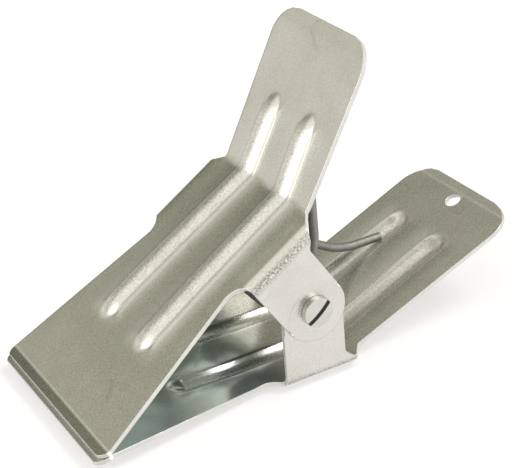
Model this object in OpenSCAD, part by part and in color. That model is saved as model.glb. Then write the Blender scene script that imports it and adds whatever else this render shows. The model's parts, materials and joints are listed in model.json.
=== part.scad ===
// Tarp clip: two stamped steel plates that pinch a tarpaulin between their lips.
// A slotted screw and a thin nut form the pivot, and a torsion spring spreads the handles.
// X runs from the jaws to the handles, Y along the pivot and Z up from the resting surface.
// The origin is the centre of the footprint, at the height of that surface.

/* [Sheet] */
// Thickness of the steel sheet of both plates
sheet_t = 1.2; // [1:0.1:1.5]
// Mid-sheet radius of the handle bends
bend_r = 3; // [2:0.5:4]
// Mid-sheet radius of the creases at the lips
crease_r = 1.2; // [1:0.1:2]
// Outer radius of the folds that carry the upper plate's ears
upper_fold_r = 3; // [2.4:0.1:3.6]
// Outer radius of the folds that carry the lower plate's ears
lower_fold_r = 2; // [1.8:0.1:2.8]

/* [Jaws] */
// Width of the jaws at the lips
jaw_w = 60.6; // [58:0.2:64]
// Length of a jaw from the waist to the crease of its lip
jaw_len = 44; // [40:1:52]
// Slope by which the upper jaw closes in towards its lip, in degrees
jaw_rise = 0.8; // [0.2:0.2:1.6]
// Length of the upper lip
upper_lip = 2.7; // [2:0.1:4]
// Length of the lower lip
lower_lip = 4; // [2:0.1:5]
// Radius of the lip corners
lip_corner_r = 3; // [1:0.5:5]
// Gap between the closed lips
lip_gap = 0.1; // [0.05:0.05:0.2]

/* [Middle] */
// Distance from the pivot axis to the outer face of the upper plate
upper_h = 19.2; // [18.4:0.2:20]
// Distance from the pivot axis to the outer face of the lower plate
lower_h = 20.8; // [20:0.2:21.4]
// Distance from the pivot axis forward to the waist
mid_front = 16.4; // [15:0.2:18]
// Distance from the pivot axis back to the upper handle's bend
upper_mid_rear = 15.2; // [14.8:0.2:16]
// Distance from the pivot axis back to the lower handle's bend
lower_mid_rear = 12.8; // [12.6:0.2:14]
// Width across the waist, between the two front reliefs
waist_w = 43.6; // [40:0.4:45]
// Radius of the reliefs cut ahead of the ears
relief_r = 5; // [4.2:0.2:5.6]
// Radius of the reliefs cut behind the ears
rear_relief_r = 3; // [2.4:0.2:3.4]

/* [Ears] */
// Width over the upper plate's ears
ear_span = 54; // [52:0.5:58]
// Radius of the ears round the pivot
ear_r = 8.8; // [8:0.1:9.2]
// Side gap between the upper and the lower ears
ear_gap = 0.2; // [0.1:0.05:0.4]
// Radius of the fillet at the rear foot of an ear
ear_foot_r = 3.6; // [2.4:0.2:4]
// Distance from the pivot axis back to the middle of the upper plate's rear reliefs
upper_relief_x = 15; // [14.8:0.1:15.5]
// Distance from the pivot axis back to the middle of the lower plate's rear reliefs
lower_relief_x = 15.2; // [14.8:0.1:15.5]

/* [Handles] */
// Bend of the upper handle away from the lower one, in degrees
upper_bend = 29.2; // [24:0.2:32]
// Bend of the lower handle towards the upper one, in degrees
lower_bend = 22.9; // [18:0.1:26]
// Length of the upper handle before its end curl
upper_handle = 40; // [36:1:48]
// Length of the lower handle before its end curl
lower_handle = 56; // [54:0.1:60]
// Width of the handles at the bend
handle_w = 42; // [41:0.2:43]
// Width of the handles at the end
handle_end_w = 43.4; // [41:0.2:46]
// Radius of the handle corners
handle_corner_r = 8.6; // [5:0.2:10]
// Length of the upper handle's faint end curl
upper_curl = 4.3; // [3:0.1:6]
// Length of the lower handle's end curl
lower_curl = 2.9; // [2:0.1:5]
// Turn of the upper end curl, in degrees
upper_curl_turn = 4; // [2:1:10]
// Turn of the lower end curl, in degrees
lower_curl_turn = 18; // [10:1:24]
// Diameter of the lanyard hole in the lower handle
hole_d = 4.5; // [4:0.1:6]
// Distance of the lanyard hole from the handle bend
hole_s = 52.8; // [49:0.1:53]

/* [Ribs] */
// Height of the stiffening ribs over the outer face
rib_h = 2; // [1.4:0.1:2.4]
// Width of a rib at its foot
rib_w = 8.6; // [7.6:0.2:9.6]
// Distance of a rib's front end from the middle line
rib_front_y = 10.2; // [9:0.2:11]
// Distance of a rib's rear end from the middle line
rib_rear_y = 8.8; // [8:0.2:9.6]
// Reach of the upper ribs forward of the waist
upper_rib_front = 21.9; // [18:0.1:26]
// Reach of the upper ribs along the handle
upper_rib_rear = 22.3; // [18:0.1:26]
// Reach of the lower ribs forward of the waist
lower_rib_front = 18.8; // [16:0.1:24]
// Reach of the lower ribs along the handle
lower_rib_rear = 41.2; // [36:0.1:43]
// Extra radius of a rib at its ends and where it rounds the waist and the handle bend
rib_swell = 0.03; // [0.02:0.01:0.1]

/* [Pivot] */
// Diameter of the pivot screw
screw_d = 4; // [3:0.5:5]
// Radial clearance of the screw in the ears and the sleeve
screw_clear = 0.08; // [0.04:0.01:0.1]
// Diameter of the screw head
head_d = 8; // [7:0.5:9.5]
// Height of the screw head at its middle
head_h = 2.3; // [1.8:0.1:3]
// Height by which the head's top is domed
head_dome = 0.5; // [0.2:0.1:0.8]
// Width of the screwdriver slot
slot_w = 1.2; // [0.8:0.1:1.5]
// Depth of the screwdriver slot
slot_depth = 1.1; // [0.8:0.1:1.4]
// Direction of the slot on the head, in degrees
slot_turn = 39; // [0:1:180]
// Running gap beside the screw head and the nut
side_clear = 0.1; // [0.05:0.05:0.2]
// Width across the flats of the nut
nut_w = 7; // [6:0.5:8]
// Height of the nut
nut_h = 2.2; // [1.8:0.1:2.4]
// Length of screw beyond the nut
screw_end = 0.4; // [0.2:0.1:0.4]
// Chamfer at the screw's end and the nut's corners
small_chamfer = 0.3; // [0.2:0.05:0.4]
// Outer diameter of the spacer sleeve
sleeve_d = 10; // [8:0.5:10]
// Clearance at each end of the spacer sleeve
sleeve_clear = 0.1; // [0.05:0.05:0.2]

/* [Spring] */
// Diameter of the spring wire
wire_d = 2.5; // [2:0.1:2.6]
// Radius of the coil at the middle of the wire
coil_r = 7.25; // [7:0.05:7.6]
// Shift of the coil from the pivot axis under load, up and back
coil_shift = 0.3; // [0.1:0.05:0.4]
// Whole turns of the coil, to which the legs add part of a turn
coil_turns = 5; // [4:1:5]
// Place on the coil where the lower leg leaves, in degrees from level
lower_leave = 60; // [55:1:64]
// Place on the coil where the upper leg leaves, in degrees below level
upper_leave = 25; // [20:1:30]
// Place of the lower leg's tip along the lower handle
lower_tip_s = 30; // [28:0.2:31]
// Place of the upper leg's tip along the upper handle
upper_tip_s = 17; // [15:0.5:18]
// Radius of the bend in the lower leg
lower_leg_r = 30; // [20:1:32]
// Radius of the bend in the upper leg
upper_leg_r = 18; // [12:1:22]
// Gap between a leg's tip and the groove that it presses on
tip_clear = 0.1; // [0.05:0.05:0.2]

/* [Hidden] */
$fn = 64;
// Facets along one bend of the sheet, and along one rounded corner
BEND_STEPS = 5;
CORNER_STEPS = 8;
// Rings along one turn of the coil, sides of the wire, and rings along a leg's bend
COIL_RINGS = 8;
WIRE_SIDES = 6;
LEG_RINGS = 6;
// Overrun of every cut past the faces that it opens
over = sheet_t;
// Place where a fold ends in its rear relief, as a share of the relief's radius
fold_end_share = 0.8;
// Half widths and radii
ear_out = ear_span / 2;
lower_ear_out = ear_out - sheet_t - ear_gap;
sleeve_half = lower_ear_out - sheet_t - sleeve_clear;
screw_r = screw_d / 2;
bore_r = screw_r + screw_clear;
wire_r = wire_d / 2;
// Half chord and sagitta of a rib give its radius; its wall is the sheet's thickness
rib_r = (pow(rib_w / 2, 2) + pow(rib_h, 2)) / (2 * rib_h);
groove_r = rib_r - sheet_t;
rib_axis = rib_r - rib_h;
// The crease of a lip, and the slope at which the lip's inner face points at the pivot axis
crease = [-mid_front - jaw_len * cos(jaw_rise), -upper_h + jaw_len * sin(jaw_rise)];
lower_rise = atan2(crease[1] + lower_h, -mid_front - crease[0]);
lip_slope = atan2(-crease[1], -crease[0]) - asin((sheet_t + lip_gap / 2) / norm(crease));
closed_angle = 2 * lip_slope;
finish_grey = [0.72, 0.71, 0.66];
wire_grey = [0.38, 0.38, 0.37];

// Directions and points lie in a plate's side view, [x, z], with the pivot axis at zero
function along(a) = [cos(a), sin(a)];
function inward(a) = [-sin(a), cos(a)];
// A plate's outer face as corners from the lip to the end curl, and its slopes between them
function corners(h, rear, lip, bend, handle, curl, turn) = [
    crease - lip * along(lip_slope),
    crease,
    [-mid_front, -h],
    [rear, -h],
    [rear, -h] + handle * along(bend),
    [rear, -h] + handle * along(bend) + curl * along(bend + turn)
];
function slopes(rise, bend, turn) = [lip_slope, -rise, 0, bend, bend + turn];
// One rounded bend at a corner, as points at the given depth inside the outer face
function bend_points(p, a0, a1, r, depth) =
    let (side = a1 > a0 ? 1 : -1)
    let (r0 = r + side * sheet_t / 2)
    let (c = p + side * r0 / cos((a1 - a0) / 2) * inward((a0 + a1) / 2))
    [for (k = [0 : BEND_STEPS]) c - (side * r0 - depth) * inward(a0 + (a1 - a0) * k / BEND_STEPS)];
// A whole face of a plate at the given depth
function face(v, s, depth) = concat(
    [v[0] + depth * inward(s[0])],
    bend_points(v[1], s[0], s[1], crease_r, depth),
    bend_points(v[2], s[1], s[2], bend_r, depth),
    bend_points(v[3], s[2], s[3], bend_r, depth),
    bend_points(v[4], s[3], s[4], bend_r, depth),
    [v[5] + depth * inward(s[4])]
);
function reversed(list) = [for (i = [len(list) - 1 : -1 : 0]) list[i]];
function arc(c, r, a0, a1) =
    [for (k = [0 : CORNER_STEPS]) c + r * along(a0 + (a1 - a0) * k / CORNER_STEPS)];

// The footprint's ends fix the origin
upper_corners =
    corners(upper_h, upper_mid_rear, upper_lip, -upper_bend, upper_handle, upper_curl, upper_curl_turn);
lower_corners =
    corners(lower_h, lower_mid_rear, lower_lip, lower_bend, lower_handle, lower_curl, lower_curl_turn);
front_x = lower_corners[0][0] - sheet_t * sin(lip_slope);
rear_x = lower_corners[5][0];
origin_x = (front_x + rear_x) / 2;
origin_z = lower_h + rib_h + rib_swell;

module place() {
    translate([-origin_x, 0, origin_z]) children();
}

// The upper plate is built like the lower one, then turned over and closed
module turned_over() {
    rotate([0, -closed_angle, 0]) mirror([0, 0, 1]) children();
}

// A side view extruded across the clip
module across(width) {
    rotate([90, 0, 0]) linear_extrude(height = width, center = true) children();
}

// A round bar between two points
module bar(a, b, r) {
    d = b - a;
    translate(a) rotate([0, acos(d[2] / norm(d)), atan2(d[1], d[0])]) cylinder(h = norm(d), r = r);
}

// Plan of the jaw and the middle, with the lip corners round
module front_plan(v, flat_w, lip, relief_x) {
    lip_x = crease[0] - lip * cos(lip_slope) - sheet_t * sin(lip_slope);
    taper = atan2((jaw_w - waist_w) / 2, -mid_front + relief_r / 2 - lip_x);
    corner = [lip_x + lip_corner_r, jaw_w / 2 - lip_corner_r];
    side = concat(arc(corner, lip_corner_r, 180, 90 - taper), [
        [-mid_front + relief_r / 2, waist_w / 2],
        [v[3][0], waist_w / 2],
        [v[3][0], handle_w / 2],
        [v[3][0] + over, handle_w / 2]
    ]);
    polygon(concat(side, reversed([for (p = side) [p[0], -p[1]]])));
    translate([-mid_front + relief_r / 2, -flat_w / 2])
        square([mid_front - relief_r / 2 + min(relief_x, v[3][0]), flat_w]);
}

// Plan of a handle, seen square to it from its bend
module handle_plan(total) {
    r = handle_corner_r;
    corner = [total - r, handle_end_w / 2 - r];
    side = concat([[-2 * over, handle_w / 2], [0, handle_w / 2]], arc(corner, r, 90, 0));
    polygon(concat(side, reversed([for (p = side) [p[0], -p[1]]])));
}

// The bent sheet, trimmed to its plan
module bent_sheet(v, s, flat_w, lip, relief_x) {
    total = norm(v[4] - v[3]) + norm(v[5] - v[4]) * cos(s[4] - s[3]);
    intersection() {
        across(jaw_w + 2 * over) polygon(concat(face(v, s, 0), reversed(face(v, s, sheet_t))));
        union() {
            linear_extrude(height = 4 * lower_h, center = true) front_plan(v, flat_w, lip, relief_x);
            translate([v[3][0], 0, v[3][1]]) rotate([0, -s[3], 0])
                linear_extrude(height = lower_h, center = true) handle_plan(total);
        }
    }
}

// Folds and ears, as a channel along X trimmed to the ears' outline
module ears(h, out, fold_r, rear) {
    front = -ear_r - over;
    intersection() {
        translate([front, 0, 0]) rotate([90, 0, 90]) linear_extrude(height = rear - front)
            for (side = [-1, 1]) scale([side, 1]) ear_section(h, out, fold_r);
        across(2 * ear_span) ear_outline(h, fold_r, rear);
    }
}

// Section of one fold and ear, [y, z]
module ear_section(h, out, fold_r) {
    c = [out - fold_r, fold_r - h];
    difference() {
        translate(c) circle(r = fold_r);
        translate(c) circle(r = fold_r - sheet_t);
        translate(c - [2 * fold_r, fold_r + over]) square([2 * fold_r, 3 * fold_r]);
        translate(c - [fold_r, 0]) square([3 * fold_r, 2 * fold_r]);
    }
    translate([out - sheet_t, c[1]]) square([sheet_t, ear_r - c[1]]);
    translate([c[0] - 2 * over, -h]) square([2 * over, sheet_t]);
}

// Outline of an ear, [x, z]
module ear_outline(h, fold_r, rear) {
    foot = ear_r + ear_foot_r;
    foot_top = fold_r + ear_foot_r - h;
    circle(r = ear_r);
    translate([-ear_r, -h - over]) square([2 * ear_r, h + over]);
    difference() {
        translate([0, -h - over]) square([rear + over, foot_top + h + over]);
        translate([foot, foot_top]) circle(r = ear_foot_r);
        translate([foot, fold_r - h]) square([rear, 2 * ear_foot_r]);
    }
}

// The round reliefs cut beside the ears
module reliefs(h, fold_r, relief_x) {
    for (side = [-1, 1]) {
        translate([-ear_r - relief_r, side * (waist_w / 2 + relief_r), -h - over])
            cylinder(h = fold_r + 2 * over, r = relief_r);
        translate([relief_x, side * (handle_w / 2 + rear_relief_r), -h - over])
            cylinder(h = fold_r + 2 * over, r = rear_relief_r);
    }
}

// Two bars with round ends along the ribs' axes, which are raised inside the outer face
module rib_bars(v, s, front, rear, r) {
    axis_front = v[2] - (front - rib_w / 2) * along(s[1]) + rib_axis * inward(s[1]);
    axis_waist = v[2] + rib_axis * inward(0);
    axis_bend = v[3] + rib_axis / cos(s[3] / 2) * inward(s[3] / 2);
    axis_rear = v[3] + (rear - rib_w / 2) * along(s[3]) + rib_axis * inward(s[3]);
    drift = (rib_front_y - rib_rear_y) / (front + rear + v[3][0] - v[2][0] - rib_w);
    waist_y = rib_front_y - drift * (front - rib_w / 2);
    bend_y = waist_y - drift * (v[3][0] - v[2][0]);
    for (side = [-1, 1]) {
        a = [axis_front[0], side * rib_front_y, axis_front[1]];
        b = [axis_waist[0], side * waist_y, axis_waist[1]];
        c = [axis_bend[0], side * bend_y, axis_bend[1]];
        d = [axis_rear[0], side * rib_rear_y, axis_rear[1]];
        bar(a, b, r);
        bar(b, c, r);
        bar(c, d, r);
        for (p = [a, b, c, d]) translate(p) sphere(r = r + rib_swell);
    }
}

// Everything on the outer side of mid-sheet, where ribs stand out
module outer_side(v, s) {
    deep = lower_h + upper_handle;
    mid = face(v, s, sheet_t / 2);
    across(jaw_w) polygon(concat([[mid[0][0], -deep]], mid, [[mid[len(mid) - 1][0], -deep]]));
}

// One plate of the clip
module plate(h, v, s, out, fold_r, lip, relief_x, rib_front, rib_rear) {
    difference() {
        union() {
            bent_sheet(v, s, 2 * (out - fold_r), lip, relief_x);
            ears(h, out, fold_r, min(relief_x - fold_end_share * rear_relief_r, v[3][0]));
            intersection() {
                rib_bars(v, s, rib_front, rib_rear, rib_r);
                outer_side(v, s);
            }
        }
        rib_bars(v, s, rib_front, rib_rear, groove_r);
        reliefs(h, fold_r, relief_x);
        rotate([90, 0, 0]) cylinder(h = 2 * ear_span, r = bore_r, center = true);
    }
}

module lower_plate() {
    v = lower_corners;
    s = slopes(lower_rise, lower_bend, lower_curl_turn);
    color(finish_grey) place() difference() {
        plate(lower_h, v, s, lower_ear_out, lower_fold_r, lower_lip, lower_relief_x,
            lower_rib_front, lower_rib_rear);
        translate([v[3][0], 0, v[3][1]]) rotate([0, -lower_bend, 0]) translate([hole_s, 0, -over])
            cylinder(h = sheet_t + 2 * over, d = hole_d);
    }
}

module upper_plate() {
    s = slopes(jaw_rise, -upper_bend, upper_curl_turn);
    color(finish_grey) place() turned_over()
        plate(upper_h, upper_corners, s, ear_out, upper_fold_r, upper_lip, upper_relief_x,
            upper_rib_front, upper_rib_rear);
}

// Slotted pan-head screw, its head at the near ear
module pivot_screw() {
    length = ear_span + 2 * side_clear + nut_h + screw_end;
    dome_r = (pow(head_d / 2, 2) + pow(head_dome, 2)) / (2 * head_dome);
    color(finish_grey) place() translate([0, -ear_out - side_clear, 0]) rotate([-90, 0, 0]) {
        difference() {
            intersection() {
                translate([0, 0, -head_h]) cylinder(h = head_h, d = head_d);
                translate([0, 0, dome_r - head_h]) sphere(r = dome_r);
            }
            rotate([0, 0, -slot_turn]) translate([-head_d, -slot_w / 2, -head_h - over])
                cube([2 * head_d, slot_w, slot_depth + over]);
        }
        translate([0, 0, -head_h / 4]) cylinder(h = length - small_chamfer + head_h / 4, r = screw_r);
        translate([0, 0, length - small_chamfer])
            cylinder(h = small_chamfer, r1 = screw_r, r2 = screw_r - small_chamfer);
    }
}

module spacer_sleeve() {
    color(finish_grey) place() rotate([90, 0, 0]) difference() {
        cylinder(h = 2 * sleeve_half, d = sleeve_d, center = true);
        cylinder(h = 2 * sleeve_half + 2 * over, r = bore_r, center = true);
    }
}

// Thin hexagon nut with chamfered corners, on the far ear
module hex_nut() {
    corner_r = nut_w / 2 / cos(30);
    color(finish_grey) place() translate([0, ear_out + side_clear, 0]) rotate([-90, 0, 0]) difference() {
        intersection() {
            cylinder(h = nut_h, r = corner_r, $fn = 6);
            cylinder(h = nut_h, r1 = corner_r + nut_h - small_chamfer, r2 = corner_r - small_chamfer);
        }
        translate([0, 0, -over]) cylinder(h = nut_h + 2 * over, r = screw_r + screw_clear / 4);
    }
}

// Torsion spring: one wire from the lower leg's tip through the coil to the upper leg's tip
coil_centre = [coil_shift, coil_shift];
groove_floor = rib_axis - groove_r;
// The lower leg ends level, its tip over the floor of the far groove of the lower handle
lower_tip = lower_corners[3] + lower_tip_s * along(lower_bend)
    + (groove_floor + wire_r * cos(lower_bend) + tip_clear) * inward(lower_bend);
lower_touch = coil_centre + coil_r * along(lower_leave);
lower_run = (lower_touch[1] - lower_tip[1]) / cos(lower_leave);
lower_knee = lower_touch + lower_run * along(lower_leave - 90);
// The upper leg ends upright, its tip under the near groove of the upper handle
upper_slope = closed_angle + upper_bend;
upper_tip_flat = upper_corners[3] + upper_tip_s * along(-upper_bend)
    + (groove_floor + wire_r * sin(upper_slope) + tip_clear) * inward(-upper_bend);
upper_tip = [
    upper_tip_flat[0] * cos(closed_angle) + upper_tip_flat[1] * sin(closed_angle),
    upper_tip_flat[0] * sin(closed_angle) - upper_tip_flat[1] * cos(closed_angle)
];
upper_touch = coil_centre + coil_r * along(-upper_leave);
upper_run = (upper_tip[0] - upper_touch[0]) / sin(upper_leave);
upper_knee = upper_touch + upper_run * along(90 - upper_leave);
// The bend at a knee between two straight runs, as points on its arc with their headings
function knee(p, a0, a1, r) =
    let (side = a1 > a0 ? 1 : -1)
    let (c = p + side * r / cos((a1 - a0) / 2) * inward((a0 + a1) / 2))
    [for (k = [0 : LEG_RINGS])
        let (a = a0 + (a1 - a0) * k / LEG_RINGS)
        [(c - side * r * inward(a))[0], (c - side * r * inward(a))[1], a]];
// Wire route as [x, z, heading, y]
coil_sweep = 360 * (coil_turns + 1) - lower_leave - upper_leave;
coil_steps = round(coil_sweep / 360 * COIL_RINGS);
route = concat(
    [[lower_tip[0], lower_tip[1], 180, rib_rear_y]],
    [for (q = knee(lower_knee, 180, lower_leave + 90, lower_leg_r)) [q[0], q[1], q[2], rib_rear_y]],
    [for (k = [0 : coil_steps])
        let (a = lower_leave + coil_sweep * k / coil_steps)
        let (q = coil_centre + coil_r * along(a))
        [q[0], q[1], a + 90, rib_rear_y * (1 - 2 * k / coil_steps)]],
    [for (q = knee(upper_knee, 90 - upper_leave, 90, upper_leg_r)) [q[0], q[1], q[2], -rib_rear_y]],
    [[upper_tip[0], upper_tip[1], 90, -rib_rear_y]]
);
wire_points = [for (q = route) for (k = [0 : WIRE_SIDES - 1])
    let (a = 360 * (k + 0.5) / WIRE_SIDES)
    let (w = wire_r * cos(a) * inward(q[2]))
    [q[0] + w[0], q[3] + wire_r * sin(a), q[1] + w[1]]];
last_ring = len(route) - 1;
wire_faces = concat(
    [[for (k = [0 : WIRE_SIDES - 1]) k]],
    [for (i = [0 : last_ring - 1]) for (k = [0 : WIRE_SIDES - 1]) for (half = [0, 1])
        let (n = (k + 1) % WIRE_SIDES)
        let (a = i * WIRE_SIDES)
        half == 0 ? [a + k, a + WIRE_SIDES + k, a + WIRE_SIDES + n] : [a + k, a + WIRE_SIDES + n, a + n]],
    [[for (k = [WIRE_SIDES - 1 : -1 : 0]) last_ring * WIRE_SIDES + k]]
);
// Least gap between the wire and itself, taken between points at least half a turn apart
wire_gap = min([for (i = [0 : last_ring]) for (j = [i + COIL_RINGS / 2 : 1 : last_ring])
    norm([route[i][0] - route[j][0], route[i][1] - route[j][1], route[i][3] - route[j][3]])]) - wire_d;

module torsion_spring() {
    echo(least_gap_of_the_spring_to_itself = wire_gap);
    color(wire_grey) place() polyhedron(points = wire_points, faces = wire_faces, convexity = 10);
}

lower_plate();
upper_plate();
pivot_screw();
spacer_sleeve();
torsion_spring();
hex_nut();
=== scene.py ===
"""Tarp clip: two ribbed steel plates on a slotted screw, pressed together by a torsion spring."""
import json
import math

import bmesh
import bpy
from bpy.props import FloatProperty, FloatVectorProperty, IntProperty, PointerProperty
from mathutils import Matrix, Vector


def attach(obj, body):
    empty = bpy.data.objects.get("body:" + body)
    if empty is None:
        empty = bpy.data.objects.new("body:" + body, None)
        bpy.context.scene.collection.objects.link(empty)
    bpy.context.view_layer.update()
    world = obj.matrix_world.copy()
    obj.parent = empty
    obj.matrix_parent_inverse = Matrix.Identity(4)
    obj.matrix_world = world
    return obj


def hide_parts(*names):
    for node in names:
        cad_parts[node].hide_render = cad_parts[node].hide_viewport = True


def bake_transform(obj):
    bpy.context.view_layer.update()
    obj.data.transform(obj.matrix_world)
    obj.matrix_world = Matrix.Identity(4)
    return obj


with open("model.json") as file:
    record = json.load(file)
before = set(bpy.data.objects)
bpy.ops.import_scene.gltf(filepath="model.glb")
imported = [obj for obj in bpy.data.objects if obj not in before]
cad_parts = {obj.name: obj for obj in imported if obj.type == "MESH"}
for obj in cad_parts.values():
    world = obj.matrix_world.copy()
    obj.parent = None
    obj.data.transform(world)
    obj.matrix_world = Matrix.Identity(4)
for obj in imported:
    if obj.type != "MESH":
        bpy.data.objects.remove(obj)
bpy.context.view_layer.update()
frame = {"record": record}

bl_info = {
    "name": "Tarp clip",
    "version": (1, 0, 0),
    "blender": (4, 5, 0),
    "location": "View3D > Sidebar > Tarp clip",
    "description": "Models a spring tarp clip of two pressed steel plates around its packed solids",
    "category": "Object",
}

MM = 0.001
# Tolerances and steps of the meshes
TOUCH, MERGE, CUT_MERGE = 1e-7, 1e-6, 0.03 * MM
SPUN_STEPS, DOME_STEPS = 64, 8
WIRE_SIDES, COIL_STEPS, TIP_STEPS, RUN_STEPS, LOWER_STEPS, UPPER_STEPS = 16, 44, 6, 4, 10, 8
SHARP_PLATE, SHARP_TURNED, SHARP_WIRE = 50, 30, 50
TURNED_EDGE, WIRE_EDGE = 0.12 * MM, 0.2 * MM
PUNCH_MARGIN, RIM_REACH = 1.1 * MM, 1.6
SLOT_MARGIN, NUT_CLEAR = 0.02 * MM, 0.02 * MM
# Painted shadow ring that the upper ears' round ends cast on the lower ones: its middle from the pivot,
# place, width and fading
RING_SHIFT, RING_PAST = (0.7, 0.0, -0.8), 0.1 * MM
RING_NEAR, RING_FAR, RING_FADE = 0.05 * MM, 0.3 * MM, 4 * MM
# Strengths of the marks in the sheet's shade, and its roughness and metal
# Of these, the crease's highlight, the feet's shade and highlights and the ring's shadow are painted light
CREASE_HIGHLIGHT, HAIRLINE_SHADE, FOOT_SHADE, BAND_SHADE, RING_SHADE = 0.55, 0.10, 0.4, 0.25, 0.16
CALM_SPECKLE, BAND_SPECKLE, EAR_SPECKLE = 0.055, 0.38, 0.35
SHEET_ROUGH, SPECKLE_ROUGH, BAND_ROUGH, JAW_SMOOTH, EDGE_ROUGH = 0.27, 0.04, 0.2, 0.12, 0.2
FINE_SCALE, BLOTCH_SCALE, HAIRLINE_SCALE, HAIRLINE_GAPS = 2600.0, 90.0, 55.0, 140.0
HAIRLINE_WIDTH, HAIRLINE_SHOWN = (0.002, 0.007), (0.52, 0.60)
# How the grain's values, which lie about 0.5, are spread
SPECKLE_SPREAD, BLOTCH_SPREAD, ROUGH_SPREAD = (0.40, 0.60), (0.25, 0.75), (0.3, 0.7)
RIB_STRETCH, BLOTCH_SHADES, EAR_FROM = (0.35, 1.0, 0.0, 0.6), (0.93, 1.07), 0.8
GRAIN_BUMP, GRAIN_DEPTH = 0.12, 0.05 * MM
INSIDE_METAL, EDGE_METAL, SLOT_METAL = 0.85, 0.2, 0.4
# Shading that a plate's mesh carries to its material: stretch, and painted shade and highlights
MARKS = ("rib", "fold", "jaw", "crease", "ear", "foot")
PIVOT = Vector(frame["record"]["behaviour"]["joints"][0]["pos_m"])


def length(label, millimetres, note):
    """A length that a user can set, given in millimetres."""
    return FloatProperty(name=label, description=note, default=millimetres * MM, precision=5, unit="LENGTH")


def angle(label, degrees, note):
    """An angle that a user can set, given in degrees."""
    return FloatProperty(name=label, description=note, default=math.radians(degrees), unit="ROTATION")


def colour(label, rgb, note):
    """A colour that a user can set, in linear values."""
    return FloatVectorProperty(
        name=label, description=note, default=rgb, size=3, min=0.0, max=1.0, subtype="COLOR"
    )


class TarpClipSheet(bpy.types.PropertyGroup):
    """Sizes that both plates share."""

    thickness: length("Sheet thickness", 1.2, "Thickness of the pressed sheet")
    edge_round: length("Edge rounding", 0.14, "Width of the rounding along the cut edges")
    bend_radius: length("Bend radius", 3.0, "Radius of the wide bends at mid-sheet")
    crease_radius: length("Crease radius", 1.4, "Radius of the crease behind the lip")
    jaw_width: length("Jaw width", 60.59, "Width across the lips")
    jaw_length: length("Jaw length", 44.0, "Length from the waist to the crease")
    jaw_rise: angle("Jaw rise", 0.8, "Slope of the upper jaw to its waist")
    lip_gap: length("Lip gap", 0.1, "Gap between the closed lips")
    lip_corner: length("Lip corner radius", 3.0, "Radius of the lips' corners")
    waist_front: length("Waist front", 16.4, "Distance from the pivot axis to the bend at the waist")
    waist_width: length("Waist width", 43.6, "Width of the sheet at the front reliefs")
    relief_radius: length("Front relief radius", 5.0, "Radius of the reliefs ahead of the ears")
    handle_width: length("Handle width", 42.0, "Width of a handle at its bend")
    handle_end_width: length("Handle end width", 43.4, "Width of a handle near its end")
    handle_corner: length("Handle corner radius", 8.6, "Radius of a handle's corners")
    ear_radius: length("Ear radius", 8.8, "Radius of an ear's round end")
    bore_radius: length("Bore radius", 2.08, "Radius of the bore for the screw")
    rib_width: length("Rib width", 8.2, "Width of a rib over its feet")
    rib_height: length("Rib height", 2.0, "Height of a rib over the sheet")
    rib_foot: length("Rib foot softness", 0.12, "Height over which a rib's -Y foot blends into the sheet")
    rib_worn: length("Rib worn softness", 0.5, "Height over which a rib's +Y foot blends into the sheet")
    skirt_length: length("Skirt length", 5.0, "Distance over which the drawn-up sheet falls back to flat")
    handle_bend: length("Handle bend radius", 6.0, "Radius of the handle's bend at mid-sheet")
    rib_front_y: length("Rib front place", 10.2, "Distance of a rib's front end from the middle")
    rib_rear_y: length("Rib rear place", 8.8, "Distance of a rib's rear end from the middle")


class TarpClipPlate(bpy.types.PropertyGroup):
    """Sizes of one plate."""

    height: length("Height", 19.2, "Distance from the pivot axis to the plate's outer face")
    waist_rear: length("Waist rear", 15.2, "Distance from the pivot axis back to the handle's bend")
    lip: length("Lip length", 2.7, "Length of the lip ahead of its crease")
    bend: angle("Handle bend", -29.2, "Slope of the handle to the waist")
    handle: length("Handle length", 40.0, "Length of the handle before its curl")
    curl: length("Curl length", 4.3, "Length of the curl at the handle's end")
    curl_turn: angle("Curl turn", 4.0, "Turn of the curl")
    ear_out: length("Ear distance", 27.0, "Distance from the middle to an ear's outer face")
    fold_radius: length("Fold radius", 3.0, "Outer radius of the folds that carry the ears")
    relief_x: length("Rear relief place", 15.2, "Distance from the pivot axis to the handle's side edge")
    fold_end: length("Fold end", 12.8, "Distance from the pivot axis to the rear end of the folds")
    foot_x: length("Ear foot place", 10.4, "Distance from the pivot axis to an ear's foot past its fold")
    ear_foot: length("Ear foot height", 2.0, "Height over which an ear's foot narrows to the ear")
    rib_front: length("Rib front reach", 21.9, "Reach of the ribs ahead of the waist")
    rib_rear: length("Rib rear reach", 22.3, "Reach of the ribs along the handle")
    nose: length("Rib nose", 6.5, "Length over which the ribs' front ends fall to the sheet")
    tail: length("Rib tail", 8.0, "Length over which the ribs' rear ends fall to the sheet")
    skirt: length("Skirt height", 0.35, "Height of the drawn-up sheet beside a rib")
    nose_power: IntProperty(
        name="Nose shape", description="1 for a sharp nose, 2 for a round one", default=2, min=1
    )
    hole: length("Lanyard hole place", 0.0, "Distance of the lanyard hole from the bend, or zero for none")
    hole_radius: length("Lanyard hole radius", 2.25, "Radius of the lanyard hole")


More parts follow.
